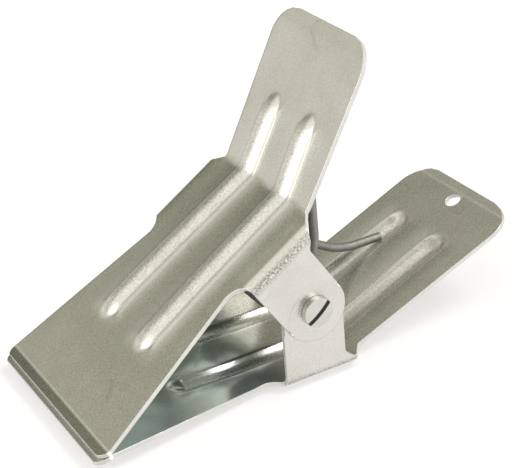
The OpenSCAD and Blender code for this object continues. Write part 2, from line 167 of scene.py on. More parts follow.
class TarpClipPivot(bpy.types.PropertyGroup):
    """Sizes of the screw, the sleeve and the nut."""

    screw_radius: length("Screw radius", 2.0, "Radius of the pivot screw")
    head_radius: length("Head radius", 4.0, "Radius of the screw's head")
    head_height: length("Head height", 2.3, "Height of the head at its middle")
    head_dome: length("Head dome", 0.5, "Height by which the head's top is domed")
    slot_width: length("Slot width", 1.2, "Width of the screwdriver slot")
    slot_depth: length("Slot depth", 1.1, "Depth of the screwdriver slot")
    slot_turn: angle("Slot direction", 39.0, "Direction of the slot on the head")
    ear_out: length("Ear distance", 27.0, "Distance from the middle to the outer ears' faces")
    side_clear: length("Side clearance", 0.1, "Gap beside the head and the nut")
    nut_width: length("Nut width", 7.0, "Width across the flats of the nut")
    nut_height: length("Nut height", 2.2, "Height of the nut")
    screw_end: length("Screw end", 0.4, "Length of screw beyond the nut")
    chamfer: length("Chamfer", 0.3, "Chamfer at the screw's end and on the nut")
    sleeve_radius: length("Sleeve radius", 5.0, "Outer radius of the spacer sleeve")
    sleeve_half: length("Sleeve half length", 24.3, "Half the length of the spacer sleeve")


class TarpClipSpring(bpy.types.PropertyGroup):
    """Sizes of the torsion spring."""

    wire_radius: length("Wire radius", 1.25, "Radius of the spring's wire")
    coil_radius: length("Coil radius", 7.25, "Radius of the coil at the middle of the wire")
    coil_shift: length("Coil shift", 0.3, "Shift of the coil from the pivot axis, up and back")
    turns: IntProperty(name="Turns", description="Whole turns of the coil", default=5, min=1, max=8)
    lower_leave: angle("Lower leg leaves", 60.0, "Place on the coil where the lower leg leaves")
    upper_leave: angle("Upper leg leaves", 25.0, "Place on the coil where the upper leg leaves")
    lower_tip: length("Lower leg tip", 32.0, "Place of the lower leg's tip along the lower handle")
    upper_tip: length("Upper leg tip", 17.0, "Place of the upper leg's tip along the upper handle")
    lower_bend: length("Lower leg bend", 20.0, "Radius of the bend in the lower leg")
    upper_bend: length("Upper leg bend", 18.0, "Radius of the bend in the upper leg")
    tip_clear: length("Tip clearance", 0.1, "Gap between a leg's tip and its groove")


class TarpClipFinish(bpy.types.PropertyGroup):
    """Colours of the metals."""

    sheet: colour("Sheet", (0.66, 0.645, 0.60), "Zinc-plated sheet")
    screw: colour("Screw", (0.60, 0.60, 0.57), "Plated screw, nut and sleeve")
    wire: colour("Wire", (0.29, 0.29, 0.275), "Spring wire")
    edge: colour("Cut edge", (0.62, 0.61, 0.58), "Cut edges of the sheet")
    # darker and greener than the sheet: painted shade and painted reflection inside the closed jaws
    inside: colour("Inside", (0.48, 0.545, 0.52), "Inner face of the sheet in the jaws")
    slot: colour("Slot", (0.10, 0.085, 0.07), "Floor and walls of the screw's slot")
    floor: colour("Floor", (0.45, 0.44, 0.45), "Floor under the clip")


def along(a):
    """Unit step at the given slope, in a plate's side view."""
    return Vector((math.cos(a), math.sin(a)))


def inward(a):
    """Unit step square to the given slope, towards the pivot."""
    return Vector((-math.sin(a), math.cos(a)))


def mix(a, b, share):
    """The value between a and b at the given share."""
    return a + (b - a) * share


def bend_middle(corner, a0, a1, reach):
    """Middle of the bend that rounds a corner between two slopes."""
    return corner + reach / math.cos((a1 - a0) / 2) * inward((a0 + a1) / 2)


def share_of(value, start, end):
    """Share of the way from start to end at which a value lies."""
    return (value - start) / (end - start)


def clamped(value):
    """The value, kept between 0 and 1."""
    return min(1.0, max(0.0, value))


def peak(value, middle, width):
    """1 at the middle, falling evenly to 0 at the given distance from it."""
    return max(0.0, 1.0 - abs(value - middle) / width)


def round_height(radius, off):
    """Height of a circle over its middle line at a distance from its middle."""
    return math.sqrt(max(0.0, radius * radius - off * off))


class SideView:
    """Mid-sheet of one plate from the side, as straight runs joined by bends."""

    HALVINGS = 48

    def __init__(self, sheet, plate, rise):
        lip_slope, crease, _ = closed_lips()
        self.crease = crease
        bend, curl = plate.bend, plate.bend + plate.curl_turn
        rear = Vector((plate.waist_rear, -plate.height))
        handle_end = rear + plate.handle * along(bend)
        self.corners = [
            crease - plate.lip * along(lip_slope),
            crease,
            Vector((-sheet.waist_front, -plate.height)),
            rear,
            handle_end,
            handle_end + plate.curl * along(curl),
        ]
        slopes = [lip_slope, -rise, 0.0, bend, curl]
        radii = [0.0, sheet.crease_radius, sheet.bend_radius, sheet.handle_bend, sheet.bend_radius]
        half = sheet.thickness / 2
        self.runs = []
        self.corner_t = [0.0]
        point, t = self.corners[0] + half * inward(slopes[0]), 0.0
        for i in range(1, 5):
            a0, a1, r = slopes[i - 1], slopes[i], radii[i]
            side = 1.0 if a1 > a0 else -1.0
            centre = bend_middle(self.corners[i], a0, a1, side * r + half)
            start = centre - side * r * inward(a0)
            run = (start - point).dot(along(a0))
            self.runs.append((t, t + run, point, a0, 0.0, None))
            t += run
            turn = r * abs(a1 - a0)
            self.runs.append((t, t + turn, start, a0, side / r, centre))
            self.corner_t.append(t + turn / 2)
            t += turn
            point = centre - side * r * inward(a1)
        last = (self.corners[5] + half * inward(slopes[4]) - point).dot(along(slopes[4]))
        self.runs.append((t, t + last, point, slopes[4], 0.0, None))
        self.total = t + last
        self.bends = [(run[0], run[1]) for run in self.runs if run[5] is not None]
        self.zero_t = self.corner_t[2] + sheet.waist_front

    def at(self, t):
        """Point and slope at a developed length."""
        for t0, t1, point, slope, curve, centre in self.runs:
            if t <= t1 or t1 == self.total:
                if centre is None:
                    return point + (t - t0) * along(slope), slope
                now = slope + curve * (t - t0)
                return centre - inward(now) / curve, now

    def length_at(self, x):
        """Developed length at which the side view reaches x."""
        low, high = 0.0, self.total
        for _ in range(self.HALVINGS):
            half = (low + high) / 2
            if self.at(half)[0].x < x:
                low = half
            else:
                high = half
        return low


def closed_lips():
    """Slope of the lips, the crease, and the angle between the closed plates."""
    sheet, upper = bpy.context.scene.tarp_clip_sheet, bpy.context.scene.tarp_clip_upper
    crease = Vector((
        -sheet.waist_front - sheet.jaw_length * math.cos(sheet.jaw_rise),
        -upper.height + sheet.jaw_length * math.sin(sheet.jaw_rise),
    ))
    slope = math.atan2(-crease.y, -crease.x)
    slope -= math.asin((sheet.thickness + sheet.lip_gap / 2) / crease.length)
    return slope, crease, 2 * slope


class Blank:
    """The flat sheet that a plate is pressed and folded from, measured along and across it."""

    # Rows across the blank: their usual distance, and those at the bends, the arcs and the ears
    STEP = 0.8 * MM
    BEND_STEP = 0.35 * MM
    GUARD = 0.4 * MM
    CLOSE = 0.3 * MM
    ARC_STEPS = 8
    RELIEF_SHARE = 0.65
    FOLD_STEPS = 6
    FOOT_STEPS = 5
    EAR_ROWS = 18
    # Columns along the blank: at the middle, beside and on a rib, outside it and at the rim
    MIDDLE_COLUMNS = 4
    OUTER_COLUMNS = 8
    RIB_SHARES = (1.6, 1.4, 1.25, 1.14, 1.06, 0.99, 0.93, 0.86, 0.77, 0.66, 0.5, 0.32, 0.16)
    OUTER_ROOM = 3 * MM
    RIM = 0.7 * MM
    EVEN_OVER = 4 * MM
    SKIRT_END = 0.6
    # Painted shade on a rib's +Y flank and along its -Y foot, and a painted highlight just outside that
    # foot: place in shares of the half width towards -Y, width and strength
    FOOT_LINES = ((-0.8, 0.4, 0.75), (0.8, 0.14, 1.1), (1.03, 0.18, -0.9))
    # Painted light beside the folds, a painted highlight before the -Y fold and painted shade on it and at
    # the +Y fold: place from the fold, width and strength
    NEAR_FOLD_LIGHT = ((-2.5 * MM, 4 * MM, -0.4), (0.8 * MM, 0.8 * MM, 0.4))
    FAR_FOLD_SHADE = ((0.0, 2 * MM, 0.4),)
    # How that painted light fades towards the ears' front and rear
    FOLD_LIGHT_ENDS = (3 * MM, 2 * MM)
    # Painted shade along the +Y rim, on the lip and on the curl
    RIM_SHADE, LIP_SHADE, CURL_SHADE = 1.5, 0.4, 0.5
    # Speckled band on a fold: place and tightness in shares of its arc, and its reach past the ears
    BAND_PLACE, BAND_TIGHT, BAND_START = 0.74, 3.0, -0.2
    BAND_PAST = 2 * MM

    def __init__(self, sheet, plate, rise):
        self.sheet, self.plate = sheet, plate
        self.path = SideView(sheet, plate, rise)
        self.fold_y = plate.ear_out - plate.fold_radius
        self.fold_mid = plate.fold_radius - sheet.thickness / 2
        self.fold_arc = self.fold_mid * math.pi / 2
        self.pivot_out = self.fold_arc + plate.height - plate.fold_radius
        self.handle_t = self.path.corner_t[3]
        lip_slope = closed_lips()[0]
        self.lip_x = self.path.corners[0].x - sheet.thickness * math.sin(lip_slope)
        self.front_x = -sheet.ear_radius - sheet.relief_radius
        self.front_y = sheet.waist_width / 2 + sheet.relief_radius
        self.ear_front = self.front_relief_x(self.fold_y)
        self.ear_rear = plate.fold_end
        self.rib_from = self.path.corner_t[2] - plate.rib_front + plate.nose
        self.rib_to = self.handle_t + plate.rib_rear - plate.tail

    def front_relief_x(self, y):
        """Edge of the front relief at a distance from the middle."""
        return self.front_x + round_height(self.sheet.relief_radius, self.front_y - y)

    def half_width(self, t):
        """Half the width of the sheet at a developed length, without the ears."""
        sheet, plate = self.sheet, self.plate
        x = t - self.path.zero_t
        if x < -sheet.waist_front:
            x = self.path.at(t)[0].x
        r = sheet.lip_corner
        centre_x, centre_y = self.lip_x + r, sheet.jaw_width / 2 - r
        waist_x = -sheet.waist_front + sheet.relief_radius / 2
        taper = math.atan2((sheet.jaw_width - sheet.waist_width) / 2, waist_x - self.lip_x)
        corner_x, corner_y = centre_x + r * math.sin(taper), centre_y + r * math.cos(taper)
        if x < corner_x:
            return centre_y + round_height(r, x - centre_x)
        if x < self.front_x:
            return mix(corner_y, sheet.waist_width / 2, min(1.0, share_of(x, corner_x, waist_x)))
        if x < self.ear_front:
            return self.front_y - round_height(sheet.relief_radius, x - self.front_x)
        if x <= self.ear_rear:
            return self.fold_y
        if x < plate.relief_x:
            return mix(self.fold_y, sheet.handle_width / 2, share_of(x, self.ear_rear, plate.relief_x))
        corner_t = self.path.total - sheet.handle_corner
        share = share_of(t, self.handle_t, corner_t)
        if share < 1.0:
            return mix(sheet.handle_width, sheet.handle_end_width, max(0.0, share)) / 2
        inner = sheet.handle_end_width / 2 - sheet.handle_corner
        return inner + round_height(sheet.handle_corner, t - corner_t)

    def rib_y(self, t):
        """Distance of a rib's middle from the clip's middle."""
        share = clamped(share_of(t, self.rib_from, self.rib_to))
        return mix(self.sheet.rib_front_y, self.sheet.rib_rear_y, share)

    def rib_off(self, t, y):
        """Distance towards +Y from the middle of the nearer rib."""
        return y - math.copysign(self.rib_y(t), y)

    def rib_height(self, t, y):
        """Height of the pressed rib, or of the sheet drawn up beside it, at a place on the blank."""
        sheet = self.sheet
        off = self.rib_off(t, y)
        half, high = sheet.rib_width / 2, sheet.rib_height
        drop = high * (max(0.0, self.rib_from - t) / self.plate.nose) ** self.plate.nose_power
        drop += high * (max(0.0, t - self.rib_to) / self.plate.tail) ** 2
        radius = rib_radius(sheet) - sheet.thickness / 2
        raised = round_height(radius, off) - (radius - high) - drop
        soft = mix(sheet.rib_foot, sheet.rib_worn, clamped(0.5 + off / half))
        if raised < soft:
            raised = max(0.0, raised + soft) ** 2 / (4 * soft)
        ahead = self.rib_from - self.SKIRT_END * self.plate.nose - t
        behind = t - self.rib_to - self.SKIRT_END * self.plate.tail
        away = math.hypot(max(0.0, abs(off) - half), max(0.0, ahead, behind))
        skirt = self.plate.skirt * max(0.0, 1.0 - away / sheet.skirt_length) ** 2
        return math.hypot(raised, skirt)

    def foot_mark(self, t, y):
        """Painted shade and painted highlight at a rib's feet: dark above 0, bright below it."""
        if not self.rib_from - self.plate.nose / 2 < t < self.rib_to + self.plate.tail / 2:
            return 0.0
        share = -self.rib_off(t, y) / (self.sheet.rib_width / 2)
        return sum(strength * peak(share, place, width) for place, width, strength in self.FOOT_LINES)

    def fold_light_mark(self, t, y):
        """Painted light and shade beside the folds, and painted shade at the +Y rim, on the lip and on the
        curl.
        """
        x, out = t - self.path.zero_t, abs(y) - self.fold_y
        mark = 0.0
        if self.ear_front < x < self.ear_rear:
            front, rear = self.FOLD_LIGHT_ENDS
            ends = min(1.0, (x - self.ear_front) / front, (self.ear_rear - x) / rear)
            for place, width, strength in self.FAR_FOLD_SHADE if y > 0 else self.NEAR_FOLD_LIGHT:
                mark += strength * ends * peak(out, place, width)
        elif y > 0 and y > self.half_width(t) - self.RIM / 2:
            mark += self.RIM_SHADE
        if t < self.path.bends[0][0]:
            mark += self.LIP_SHADE
        elif self.plate.hole > 0 and t > self.path.bends[-1][1]:
            mark += self.CURL_SHADE
        return mark

    def band_mark(self, t, out):
        """Share of the speckled band on a fold, at a share of the fold's arc."""
        x = t - self.path.zero_t
        beside = self.ear_front - self.BAND_PAST < x < self.ear_rear + self.BAND_PAST
        if out <= self.BAND_START or not beside:
            return 0.0
        return max(0.0, 1.0 - (abs(out - self.BAND_PLACE) * self.BAND_TIGHT) ** 2)

    def stations(self):
        """Developed lengths of the rows across the blank, and the two that bound the ears."""
        sheet, path = self.sheet, self.path
        zero, total = path.zero_t, path.total
        ear = (zero + self.ear_front, zero + self.ear_rear)
        wanted = []
        for k in range(self.ARC_STEPS + 1):
            share = k / self.ARC_STEPS
            turn = share * math.pi / 2
            wanted.append(path.length_at(self.lip_x + sheet.lip_corner * (1 - math.cos(turn))))
            relief = math.sin(turn * self.RELIEF_SHARE)
            wanted.append(zero + self.front_x + sheet.relief_radius * relief)
            wanted.append(zero + mix(self.ear_rear, self.plate.relief_x, share))
            wanted.append(total - sheet.handle_corner * (1 - math.sin(turn)))
        for start, end in path.bends:
            parts = max(2, round((end - start) / self.BEND_STEP))
            wanted += [mix(start, end, k / parts) for k in range(parts + 1)]
        start, end = path.bends[0]
        kept = [0.0, start - self.GUARD, start, end, end + self.GUARD, *ear, total]
        for t in wanted:
            if 0.0 < t < total and min(abs(t - other) for other in kept) > self.CLOSE:
                kept.append(t)
        kept.sort()
        rows = []
        for t0, t1 in zip(kept, kept[1:]):
            parts = max(1, math.ceil((t1 - t0) / self.STEP))
            rows += [mix(t0, t1, k / parts) for k in range(parts)]
        return rows + [total], ear

    def columns(self, t):
        """Places of the columns across one row, from the -Y edge to the +Y edge."""
        half = self.sheet.rib_width / 2
        middle, width = self.rib_y(t), self.half_width(t)
        reach = half * self.RIB_SHARES[0]
        squeeze = min(1.0, (width - self.OUTER_ROOM) / (middle + reach))
        places = [(middle - reach) * k / self.MIDDLE_COLUMNS for k in range(self.MIDDLE_COLUMNS)]
        places += [middle - half * share for share in self.RIB_SHARES]
        places += [middle] + [middle + half * share for share in reversed(self.RIB_SHARES)]
        places = [place * squeeze for place in places]
        outermost, rim = places[-1], width - self.RIM
        places += [mix(outermost, rim, (k + 1) / self.OUTER_COLUMNS) for k in range(self.OUTER_COLUMNS)]
        before = self.rib_from - self.plate.nose - t
        behind = t - self.rib_to - self.plate.tail
        even = clamped(max(before, behind) / self.EVEN_OVER)
        places = [mix(place, rim * k / (len(places) - 1), even) for k, place in enumerate(places)]
        places.append(width)
        return [-place for place in reversed(places[1:])] + places

    def ear_rows(self):
        """Rows of an ear as functions of the share along it, each giving x and the distance out."""
        plate, r = self.plate, self.sheet.ear_radius
        rows = []
        for k in range(1, self.FOLD_STEPS + 1):
            share = k / self.FOLD_STEPS
            y = self.fold_y + plate.fold_radius * math.sin(share * math.pi / 2)
            front = self.front_relief_x(min(y, self.front_y))
            rear = mix(plate.fold_end, plate.foot_x, share)
            rows.append(lambda u, a=front, b=rear, c=self.fold_arc * share: (mix(a, b, u), c))
        for k in range(1, self.FOOT_STEPS + 1):
            share = k / self.FOOT_STEPS
            rear = mix(plate.foot_x, r, (share + math.sin(share * math.pi / 2)) / 2)
            rows.append(lambda u, b=rear, c=self.fold_arc + plate.ear_foot * share: (mix(-r, b, u), c))
        base = self.fold_arc + plate.ear_foot
        for k in range(1, self.EAR_ROWS + 1):
            def row(u, v=k / self.EAR_ROWS):
                turn = math.pi * (1 - u)
                x = mix(mix(-r, r, u), r * math.cos(turn), v)
                return x, mix(base, self.pivot_out + r * math.sin(turn), v)
            rows.append(row)
        return rows

    def cut(self):
        """The blank with its ears, its bores and its hole, still flat."""
        bm = bmesh.new()
        rows, ear = self.stations()
        columns = [self.columns(t) for t in rows]
        across = len(columns[0])
        bmesh.ops.create_grid(bm, x_segments=len(rows) - 1, y_segments=across - 1, size=1.0)
        table = {}
        for vert in bm.verts:
            i = round(share_of(vert.co.x, -1, 1) * (len(rows) - 1))
            j = round(share_of(vert.co.y, -1, 1) * (across - 1))
            table[i, j] = vert
        for (i, j), vert in table.items():
            vert.co = (rows[i], columns[i][j], 0.0)
        first, last = rows.index(ear[0]), rows.index(ear[1])
        shares = [share_of(t, *ear) for t in rows[first:last + 1]]
        for side, j in ((-1.0, 0), (1.0, across - 1)):
            chain = [table[i, j] for i in range(first, last + 1)]
            for row in self.ear_rows():
                edges = [bm.edges.get(pair) for pair in zip(chain, chain[1:])]
                new = bmesh.ops.extrude_edge_only(bm, edges=edges)["geom"]
                chain = sorted(only(bmesh.types.BMVert, new), key=lambda vert: vert.co.x)
                for vert, share in zip(chain, shares):
                    x, out = row(share)
                    vert.co = (self.path.zero_t + x, side * (self.fold_y + out), 0.0)
            centre = Vector((self.path.zero_t, side * (self.fold_y + self.pivot_out), 0.0))
            punch(bm, centre, self.sheet.bore_radius)
        if self.plate.hole > 0:
            punch(bm, Vector((self.handle_t + self.plate.hole, 0.0, 0.0)), self.plate.hole_radius)
        return bm

    def fold(self, place):
        """Place in the plate's own frame of a point on the blank, with the ribs pressed."""
        t, y = place.x, place.y
        out = abs(y) - self.fold_y
        if out > TOUCH and self.path.zero_t + self.ear_front - MM < t < self.handle_t + MM:
            turn = min(out / self.fold_mid, math.pi / 2)
            rise = self.fold_mid * (1 - math.cos(turn)) + max(0.0, out - self.fold_arc)
            across = math.copysign(self.fold_y + self.fold_mid * math.sin(turn), y)
            point = self.path.at(t)[0]
            return Vector((point.x, across, point.y + rise))
        point, slope = self.path.at(t)
        point = point - self.rib_height(t, y) * inward(slope)
        return Vector((point.x, y, point.y))


def rib_radius(sheet):
    """Outer radius of a rib's cross-section."""
    half, high = sheet.rib_width / 2, sheet.rib_height
    return (half * half + high * high) / (2 * high)


def only(kind, geometry):
    """The elements of one kind among those that a mesh operator gives back."""
    return [element for element in geometry if isinstance(element, kind)]


def punch(bm, centre, radius):
    """Cuts a round hole in a flat grid and joins its rim to the faces round it."""
    reach = radius + PUNCH_MARGIN
    gone = [face for face in bm.faces if (face.calc_center_median() - centre).length < reach]
    bmesh.ops.delete(bm, geom=gone, context="FACES")
    rim = [
        edge for edge in bm.edges
        if edge.is_boundary and all((vert.co - centre).length < reach * RIM_REACH for vert in edge.verts)
    ]

    def turn_of(vert):
        return math.atan2(vert.co.y - centre.y, vert.co.x - centre.x)

    ring = sorted(only(bmesh.types.BMVert, bmesh.ops.extrude_edge_only(bm, edges=rim)["geom"]), key=turn_of)
    step = 2 * math.pi / len(ring)
    first = sum(turn_of(vert) - step * k for k, vert in enumerate(ring)) / len(ring)
    for k, vert in enumerate(ring):
        turn = first + step * k
        vert.co = centre + radius * Vector((math.cos(turn), math.sin(turn), 0.0))


def in_row_frame(upper=False):
    """Matrix from a plate's own frame to the row frame."""
    place = Matrix.Translation(PIVOT)
    if upper:
        turn = Matrix.Rotation(-closed_lips()[2], 4, "Y")
        return place @ turn @ Matrix.Diagonal((1.0, 1.0, -1.0, 1.0))
    return place


def in_row(bm):
    """The mesh, moved from the pivot's frame to the row frame."""
    bmesh.ops.transform(bm, matrix=in_row_frame(), verts=bm.verts)
    return bm


def linked(name, data):
    """A new object of the scene."""
    obj = bpy.data.objects.new(name, data)
    bpy.context.scene.collection.objects.link(obj)
    return obj


def mesh_object(name, bm):
    """A new object of the scene, made from a mesh that isn't needed afterwards."""
    mesh = bpy.data.meshes.new(name)
    bm.to_mesh(mesh)
    bm.free()
    return linked(name, mesh)


def add_piece(bm, name, body, node, slot, *materials):
    """Makes the finished object of one piece from its mesh, and ties it to the frame."""
    piece = mesh_object(name, bm)
    if not piece.data.polygons:
        raise RuntimeError(f"{name} has no faces")
    piece.data.shade_smooth()
    for material in materials:
        piece.data.materials.append(material)
    if body:
        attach(piece, body)
    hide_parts(node)
    return piece


def press_plate(plate, rise, name, body, node, upper):
    """Cuts, presses and folds one plate, and gives it its thickness."""
    sheet = bpy.context.scene.tarp_clip_sheet
    blank = Blank(sheet, plate, rise)
    bm = blank.cut()
    rib, band, jaw, crease, ear, foot = (bm.verts.layers.float.new(key) for key in MARKS)
    start, end = blank.path.bends[0]
    for vert in bm.verts:
        t, y = vert.co.x, vert.co.y
        out = (abs(y) - blank.fold_y) / blank.fold_arc
        vert[rib] = blank.rib_height(t, y) / sheet.rib_height
        vert[band] = blank.band_mark(t, out)
        # how far into the jaw a vertex lies, where the inside colour's painted shade takes over
        vert[jaw] = clamped(min((blank.path.zero_t - t) / sheet.waist_front, (t - end) / MM))
        # rows of the crease behind the lip, which take a painted highlight
        vert[crease] = float(start - TOUCH < t < end + TOUCH)
        vert[ear] = clamped(out)
        # painted shade and highlights at the ribs' feet, beside the folds, at the +Y rim, on the lip and on
        # the curl
        vert[foot] = blank.foot_mark(t, y) + blank.fold_light_mark(t, y)
        vert.co = blank.fold(vert.co)
    bmesh.ops.transform(bm, matrix=in_row_frame(upper), verts=bm.verts)
    bmesh.ops.recalc_face_normals(bm, faces=bm.faces)
    piece = add_piece(bm, name, body, node, "sheet_steel", *sheet_metals())
    wall = piece.modifiers.new("Sheet thickness", "SOLIDIFY")
    wall.material_offset, wall.material_offset_rim = 1, 2
    wall.thickness, wall.offset = sheet.thickness, 0.0
    wall.use_even_offset = True
    wall.use_quality_normals = True
    sharpen(piece, SHARP_PLATE, sheet.edge_round).use_clamp_overlap = False


def spun(profile):
    """A solid of revolution about the pivot axis from a profile of distances along and from it."""
    bm = bmesh.new()
    verts = [bm.verts.new((r, along_y, 0.0)) for along_y, r in profile]
    edges = [bm.edges.new(pair) for pair in zip(verts, verts[1:])]
    bmesh.ops.spin(
        bm, geom=verts + edges, cent=(0, 0, 0), axis=(0, 1, 0), angle=2 * math.pi, steps=SPUN_STEPS,
        use_merge=True, use_normal_flip=False, use_duplicate=False,
    )
    bmesh.ops.remove_doubles(bm, verts=bm.verts, dist=MERGE)
    bmesh.ops.recalc_face_normals(bm, faces=bm.faces)
    return bm


def cut_by(bm, cutter, operation):
    """Applies a cutter to a mesh, and returns the new mesh."""
    objects = [mesh_object("Cutting", source) for source in (bm, cutter)]
    change = objects[0].modifiers.new("Cut", "BOOLEAN")
    change.object, change.operation, change.solver = objects[1], operation, "EXACT"
    graph = bpy.context.evaluated_depsgraph_get()
    result = bmesh.new()
    result.from_object(objects[0], graph)
    for obj in objects:
        mesh = obj.data
        bpy.data.objects.remove(obj)
        bpy.data.meshes.remove(mesh)
    bmesh.ops.remove_doubles(result, verts=result.verts, dist=CUT_MERGE)
    bmesh.ops.dissolve_degenerate(result, edges=result.edges, dist=CUT_MERGE)
    return result


def sharpen(piece, degrees, width):
    """Rounds a piece's sharp edges a little, and keeps its flat faces flat."""
    edge = piece.modifiers.new("Edge rounding", "BEVEL")
    edge.width, edge.segments = width, 2
    edge.limit_method, edge.angle_limit = "ANGLE", math.radians(degrees)
    edge.harden_normals = True
    return edge


def turned_screw():
    """The slotted screw, its head at the near ear."""
    pivot = bpy.context.scene.tarp_clip_pivot
    r, high, dome = pivot.head_radius, pivot.head_height, pivot.head_dome
    dome_r = (r * r + dome * dome) / (2 * dome)
    base = -pivot.ear_out - pivot.side_clear
    end = pivot.ear_out + pivot.side_clear + pivot.nut_height + pivot.screw_end
    profile = [(base - high, 0.0)]
    for k in range(1, DOME_STEPS + 1):
        out = r * k / DOME_STEPS
        profile.append((base - high + dome_r - round_height(dome_r, out), out))
    profile += [(base, r), (base, pivot.screw_radius), (end - pivot.chamfer, pivot.screw_radius)]
    profile += [(end, pivot.screw_radius - pivot.chamfer), (end, 0.0)]
    bm = spun(profile)
    slot = bmesh.new()
    bmesh.ops.create_cube(slot, size=1.0)
    size = Matrix.Diagonal((3 * r, 2 * pivot.slot_depth, pivot.slot_width, 1.0))
    turn = Matrix.Rotation(-pivot.slot_turn, 4, "Y")
    place = Matrix.Translation((0, base - high, 0))
    bmesh.ops.transform(slot, matrix=place @ turn @ size, verts=slot.verts)
    bm = cut_by(bm, slot, "DIFFERENCE")
    across = turn @ Vector((0.0, 0.0, 1.0))
    for face in bm.faces:
        middle = face.calc_center_median()
        if middle.y < base and abs(middle.dot(across)) < pivot.slot_width / 2 + SLOT_MARGIN:
            face.material_index = 1
    return in_row(bm)


def turned_sleeve():
    """The spacer sleeve between the lower ears."""
    pivot, sheet = bpy.context.scene.tarp_clip_pivot, bpy.context.scene.tarp_clip_sheet
    half, r = pivot.sleeve_half, pivot.sleeve_radius
    ring = [(-half, sheet.bore_radius), (-half, r), (half, r), (half, sheet.bore_radius)]
    return in_row(spun(ring + ring[:1]))


def chamfered_nut():
    """The thin nut at the far ear."""
    pivot = bpy.context.scene.tarp_clip_pivot
    corner = pivot.nut_width / 2 / math.cos(math.pi / 6)
    base = pivot.ear_out + pivot.side_clear
    top = base + pivot.nut_height
    slant = corner - pivot.chamfer
    cone = spun([(base, 0.0), (base, slant + pivot.nut_height), (top, slant), (top, 0.0)])
    bm = bmesh.new()
    bmesh.ops.create_cone(
        bm, cap_ends=True, segments=6, radius1=corner, radius2=corner, depth=pivot.nut_height,
        matrix=Matrix.Translation((0, (base + top) / 2, 0)) @ Matrix.Rotation(math.pi / 2, 4, "X"),
    )
    bm = cut_by(bm, cone, "INTERSECT")
    bore, low, high = pivot.screw_radius + NUT_CLEAR, base - pivot.nut_height, top + pivot.nut_height
    return in_row(cut_by(bm, spun([(low, 0.0), (low, bore), (high, bore), (high, 0.0)]), "DIFFERENCE"))


def wound_spring():
    """The spring's wire, from the lower leg's tip through the coil to the upper leg's tip."""
    scene = bpy.context.scene
    spring, sheet = scene.tarp_clip_spring, scene.tarp_clip_sheet
    upper, lower = scene.tarp_clip_upper, scene.tarp_clip_lower
    wire, coil = spring.wire_radius, spring.coil_radius
    centre = Vector((spring.coil_shift, spring.coil_shift))
    floor = sheet.thickness - sheet.rib_height
    a = closed_lips()[2]

    def rear(plate):
        return Vector((plate.waist_rear, -plate.height))

    tip = rear(lower) + spring.lower_tip * along(lower.bend)
    tip += (floor + wire * math.cos(lower.bend) + spring.tip_clear) * inward(lower.bend)
    touch = centre + coil * along(spring.lower_leave)
    run = (touch.y - tip.y) / math.cos(spring.lower_leave)
    knee = touch + run * along(spring.lower_leave - math.pi / 2)
    flat = rear(upper) + spring.upper_tip * along(upper.bend)
    flat += (floor + wire * math.sin(a - upper.bend) + spring.tip_clear) * inward(upper.bend)
    up_tip = Vector((
        flat.x * math.cos(a) + flat.y * math.sin(a),
        flat.x * math.sin(a) - flat.y * math.cos(a),
    ))
    up_touch = centre + coil * along(-spring.upper_leave)
    up_run = (up_tip.x - up_touch.x) / math.sin(spring.upper_leave)
    up_knee = up_touch + up_run * along(math.pi / 2 - spring.upper_leave)

    bm = bmesh.new()
    place = Matrix.Translation((tip.x, sheet.rib_rear_y, tip.y)) @ Matrix.Rotation(math.pi / 2, 4, "Y")
    ring = bmesh.ops.create_circle(
        bm, cap_ends=False, segments=WIRE_SIDES, radius=wire, matrix=place
    )["verts"]
    ends = [list(ring)]
    last = list({edge for vert in ring for edge in vert.link_edges})

    def straight(distance, direction, parts):
        nonlocal last
        for _ in range(parts):
            new = bmesh.ops.extrude_edge_only(bm, edges=last)["geom"]
            verts = only(bmesh.types.BMVert, new)
            last = [edge for edge in only(bmesh.types.BMEdge, new) if all(v in verts for v in edge.verts)]
            step = direction * (distance / parts)
            bmesh.ops.translate(bm, verts=verts, vec=(step.x, 0, step.y))
        ends.append(verts)

    def turned(middle, sweep, parts, drift):
        nonlocal last
        verts = list({vert for edge in last for vert in edge.verts})
        done = bmesh.ops.spin(
            bm, geom=verts + last, cent=(middle.x, 0, middle.y), axis=(0, -1, 0), angle=sweep,
            steps=parts, dvec=(0, drift / parts, 0), use_merge=False, use_normal_flip=False,
            use_duplicate=False,
        )["geom_last"]
        last = only(bmesh.types.BMEdge, done)
        ends.append(only(bmesh.types.BMVert, done))

    def around(p, a0, a1, r):
        side = 1.0 if a1 > a0 else -1.0
        middle = bend_middle(p, a0, a1, side * r)
        return middle, middle - side * r * inward(a0), middle - side * r * inward(a1)

    bend0, bend1 = math.pi, spring.lower_leave + math.pi / 2
    middle, start, end = around(knee, bend0, bend1, spring.lower_bend)
    straight((start - tip).length, along(math.pi), TIP_STEPS)
    turned(middle, bend1 - bend0, LOWER_STEPS, 0.0)
    straight((touch - end).length, along(bend1), RUN_STEPS)
    sweep = 2 * math.pi * (spring.turns + 1) - spring.lower_leave - spring.upper_leave
    turned(centre, sweep, COIL_STEPS * spring.turns, -2 * sheet.rib_rear_y)
    bend0, bend1 = math.pi / 2 - spring.upper_leave, math.pi / 2
    middle, start, end = around(up_knee, bend0, bend1, spring.upper_bend)
    straight((start - up_touch).length, along(bend0), RUN_STEPS)
    turned(middle, bend1 - bend0, UPPER_STEPS, 0.0)
    straight((up_tip - end).length, along(bend1), TIP_STEPS)
    for verts in (ends[0], ends[-1]):
        bmesh.ops.contextual_create(bm, geom=verts)
    bmesh.ops.remove_doubles(bm, verts=bm.verts, dist=MERGE)
    bmesh.ops.recalc_face_normals(bm, faces=bm.faces)
    return in_row(bm)


